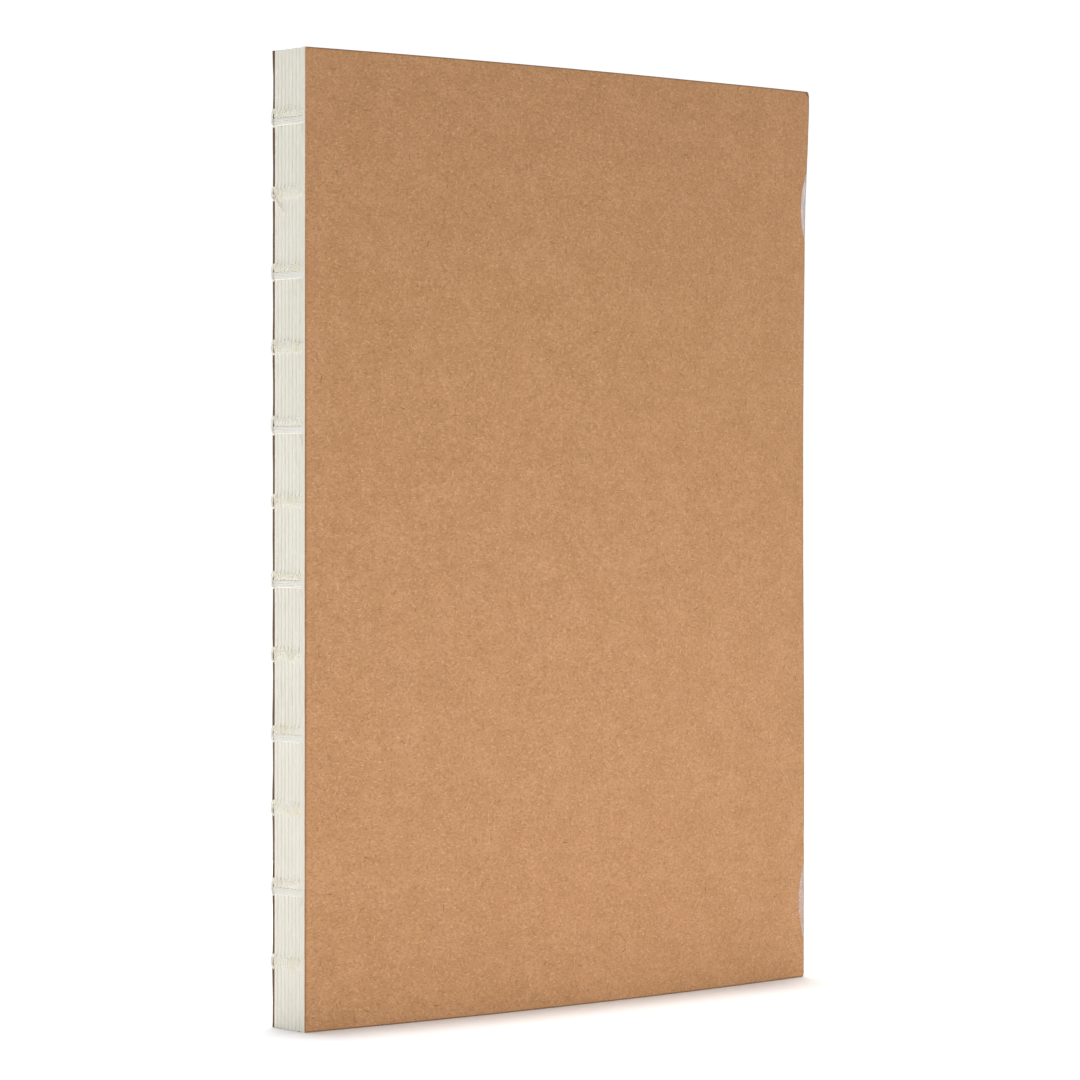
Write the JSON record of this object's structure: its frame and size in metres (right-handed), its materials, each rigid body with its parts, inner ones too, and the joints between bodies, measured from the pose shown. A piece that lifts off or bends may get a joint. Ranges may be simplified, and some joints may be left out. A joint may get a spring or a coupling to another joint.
{
  "type": "pocket notebook",
  "caption": "Pocket notebook of sewn paper signatures with an open stitched spine, plain kraft board covers and clear round seals at the fore-edge.",
  "frame": {"origin": "middle of the bottom of the whole notebook, standing on its tail edge", "axes": "+Z from tail to head, +X from the sewn spine to the fore-edge, and the front cover faces -Y"},
  "size_m": [0.1054, 0.0084, 0.148],
  "materials": {
    "kraft_board": "matte",
    "cream_paper": "matte",
    "sewing_thread": "matte",
    "clear_film": "gloss"
  },
  "bodies": {
    "front_cover": {"front_cover": "kraft_board", "upper_seal_front": "clear_film", "lower_seal_front": "clear_film"},
    "signature_1": {"signature_1_sheet_1": "cream_paper", "signature_1_sheet_2": "cream_paper", "signature_1_sheet_3": "cream_paper", "signature_1_sheet_4": "cream_paper", "signature_1_thread": "sewing_thread"},
    "signature_2": {"signature_2_sheet_1": "cream_paper", "signature_2_sheet_2": "cream_paper", "signature_2_sheet_3": "cream_paper", "signature_2_sheet_4": "cream_paper", "signature_2_thread": "sewing_thread"},
    "signature_3": {"signature_3_sheet_1": "cream_paper", "signature_3_sheet_2": "cream_paper", "signature_3_sheet_3": "cream_paper", "signature_3_sheet_4": "cream_paper", "signature_3_thread": "sewing_thread"},
    "signature_4": {"signature_4_sheet_1": "cream_paper", "signature_4_sheet_2": "cream_paper", "signature_4_sheet_3": "cream_paper", "signature_4_sheet_4": "cream_paper", "signature_4_thread": "sewing_thread"},
    "signature_5": {"signature_5_sheet_1": "cream_paper", "signature_5_sheet_2": "cream_paper", "signature_5_sheet_3": "cream_paper", "signature_5_sheet_4": "cream_paper", "signature_5_thread": "sewing_thread"},
    "signature_6": {"signature_6_sheet_1": "cream_paper", "signature_6_sheet_2": "cream_paper", "signature_6_sheet_3": "cream_paper", "signature_6_sheet_4": "cream_paper", "signature_6_thread": "sewing_thread"},
    "signature_7": {"signature_7_sheet_1": "cream_paper", "signature_7_sheet_2": "cream_paper", "signature_7_sheet_3": "cream_paper", "signature_7_sheet_4": "cream_paper", "signature_7_thread": "sewing_thread"},
    "signature_8": {"signature_8_sheet_1": "cream_paper", "signature_8_sheet_2": "cream_paper", "signature_8_sheet_3": "cream_paper", "signature_8_sheet_4": "cream_paper", "signature_8_thread": "sewing_thread"},
    "rear_cover": {"rear_cover": "kraft_board", "upper_seal_rear": "clear_film", "lower_seal_rear": "clear_film"}
  },
  "joints": [
    {"name": "flat_opening_3_4", "type": "hinge", "parent": "signature_4", "child": "signature_3", "pos_m": [-0.05276, -0.00091, 0], "axis": [0, 0, 1], "range_deg": [-180, 0]},
    {"name": "opening_2_3", "type": "hinge", "parent": "signature_3", "child": "signature_2", "pos_m": [-0.05276, -0.00181, 0], "axis": [0, 0, -1], "range_deg": [0, 25]},
    {"name": "opening_1_2", "type": "hinge", "parent": "signature_2", "child": "signature_1", "pos_m": [-0.05276, -0.00272, 0], "axis": [0, 0, -1], "range_deg": [0, 25]},
    {"name": "front_cover_hinge", "type": "hinge", "parent": "signature_1", "child": "front_cover", "pos_m": [-0.05276, -0.00363, 0], "axis": [0, 0, -1], "range_deg": [0, 180]},
    {"name": "opening_4_5", "type": "hinge", "parent": "signature_4", "child": "signature_5", "pos_m": [-0.05276, 0, 0], "axis": [0, 0, 1], "range_deg": [0, 25]},
    {"name": "opening_5_6", "type": "hinge", "parent": "signature_5", "child": "signature_6", "pos_m": [-0.05276, 0.00091, 0], "axis": [0, 0, 1], "range_deg": [0, 25]},
    {"name": "opening_6_7", "type": "hinge", "parent": "signature_6", "child": "signature_7", "pos_m": [-0.05276, 0.00181, 0], "axis": [0, 0, 1], "range_deg": [0, 25]},
    {"name": "opening_7_8", "type": "hinge", "parent": "signature_7", "child": "signature_8", "pos_m": [-0.05276, 0.00272, 0], "axis": [0, 0, 1], "range_deg": [0, 25]},
    {"name": "rear_cover_hinge", "type": "hinge", "parent": "signature_8", "child": "rear_cover", "pos_m": [-0.05276, 0.00363, 0], "axis": [0, 0, -1], "range_deg": [-180, 0]}
  ]
}
